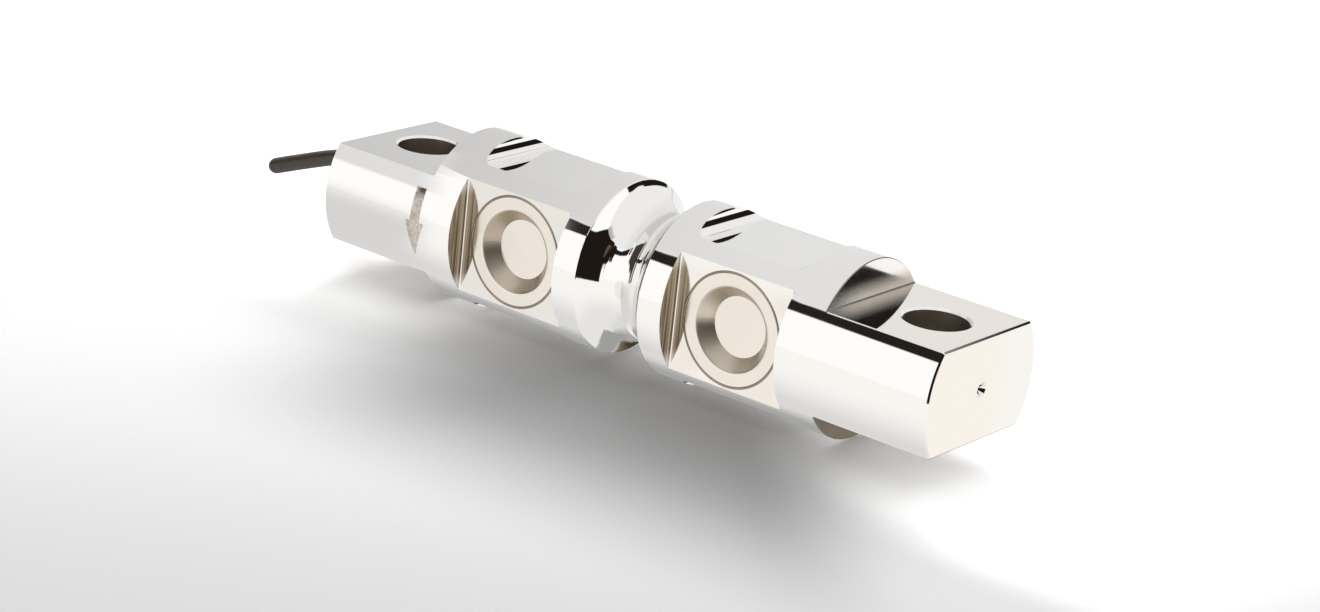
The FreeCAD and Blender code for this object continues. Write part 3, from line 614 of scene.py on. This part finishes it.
# Dark gap under the ceiling at the front, which a dark stand joins at the left
rise = calc(tree, "ADD", ramp(tree, compass, -200.0, -145.0, 26.0, 40.0),
            calc(tree, "ADD", ramp(tree, compass, -128.0, -104.0, 0.0, -2.5),
                 ramp(tree, compass, -98.0, -72.0, 0.0, 7.0)))
under_ceiling = ramp(tree, calc(tree, "SUBTRACT", height, rise), 0.7, -0.7)
over_sill = ramp(tree, height, 29.8, 31.2)
beside = ramp(tree, x, -0.656, -0.666)
paint(GAP, front, between(tree, compass, -170.0, -62.0, 2.0), ramp(tree, x, -0.607, -0.592), over_sill,
      under_ceiling)
paint(GAP, front, beside, ramp(tree, compass, -128.0, -136.0), over_sill, under_ceiling)
stand_side = calc(tree, "SUBTRACT", compass, ramp(tree, height, -6.0, 30.0, -147.0, -134.0))
paint(STAND, front, beside, ramp(tree, stand_side, 1.0, -1.0), ramp(tree, height, -8.5, -6.5), under_ceiling)

# Dark room at the front right, with a paler thing in it
room_side = calc(tree, "ADD", ramp(tree, height, 11.0, 20.0, -73.0, -86.0),
                 ramp(tree, height, 24.0, 31.0, 0.0, -6.0))
room_top = ramp(tree, compass, -36.0, -8.0, 48.0, 20.0)
paint(DARK, ramp(tree, calc(tree, "SUBTRACT", compass, room_side), -1.2, 1.2),
      ramp(tree, compass, -4.0, -2.0, 1.0, 0.0), ramp(tree, height, -15.0, -13.5), under_ceiling,
      ramp(tree, calc(tree, "SUBTRACT", height, room_top), 1.0, -1.0))
paint(PALE_THING, window(-69, -64.5, 20, 38, 1.2))

# Dark doorway at the back right, under the same level edge
past_edge = calc(tree, "SUBTRACT", beyond, ramp(tree, compass, 54.0, 72.0, 0.0, 0.12))
paint(DARK, window(40.5, 95, 7.5, 40), ramp(tree, past_edge, EDGE_SOFT, -EDGE_SOFT))

# The camera sees plain white behind the table
rays = add_node(tree, "ShaderNodeLightPath").outputs
lit = mix_colour(tree, rays["Is Diffuse Ray"], studio, mix_colour(tree, 1.0, studio, TO_DIFFUSE, "MULTIPLY"))
background = add_node(tree, "ShaderNodeBackground",
                      {"Color": mix_colour(tree, rays["Is Camera Ray"], lit, grey(1.0)), "Strength": 1.0})
output = add_node(tree, "ShaderNodeOutputWorld")
tree.links.new(background.outputs[0], output.inputs["Surface"])

# Key lamp, behind the left end and above it
LAMP_PLACE, LAMP_SIZE, LAMP_WATTS = Vector((-0.50, 0.95, 1.05)), 0.80, 6.5
lamp_data = bpy.data.lights.new("key", "AREA")
lamp_data.shape = "DISK"
lamp_data.size = LAMP_SIZE
lamp_data.energy = LAMP_WATTS
lamp = bpy.data.objects.new("key", lamp_data)
lamp.location = LAMP_PLACE
lamp.rotation_euler = (-LAMP_PLACE).to_track_quat("-Z", "Y").to_euler()
lamp.visible_glossy = False
bpy.context.collection.objects.link(lamp)

# Camera, at the photograph's angle
AZIMUTH, ELEVATION, ROLL = (math.radians(angle) for angle in (36.58, 18.90, 6.33))
AIM, DISTANCE = Vector((0.0019, -0.0025, -0.0093)), 1.1064
camera_data = bpy.data.cameras.new("camera")
camera_data.sensor_width = 36.0
camera_data.lens = 88.73
camera = bpy.data.objects.new("camera", camera_data)
bpy.context.collection.objects.link(camera)
turn = (Euler((0, 0, AZIMUTH)).to_matrix() @ Euler((math.pi / 2 - ELEVATION, 0, 0)).to_matrix()
        @ Euler((0, 0, ROLL)).to_matrix())
camera.location = AIM + turn @ Vector((0, 0, DISTANCE))
camera.rotation_euler = turn.to_euler()
bpy.context.scene.camera = camera
bpy.context.scene.view_settings.view_transform = "Standard"

low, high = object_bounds()
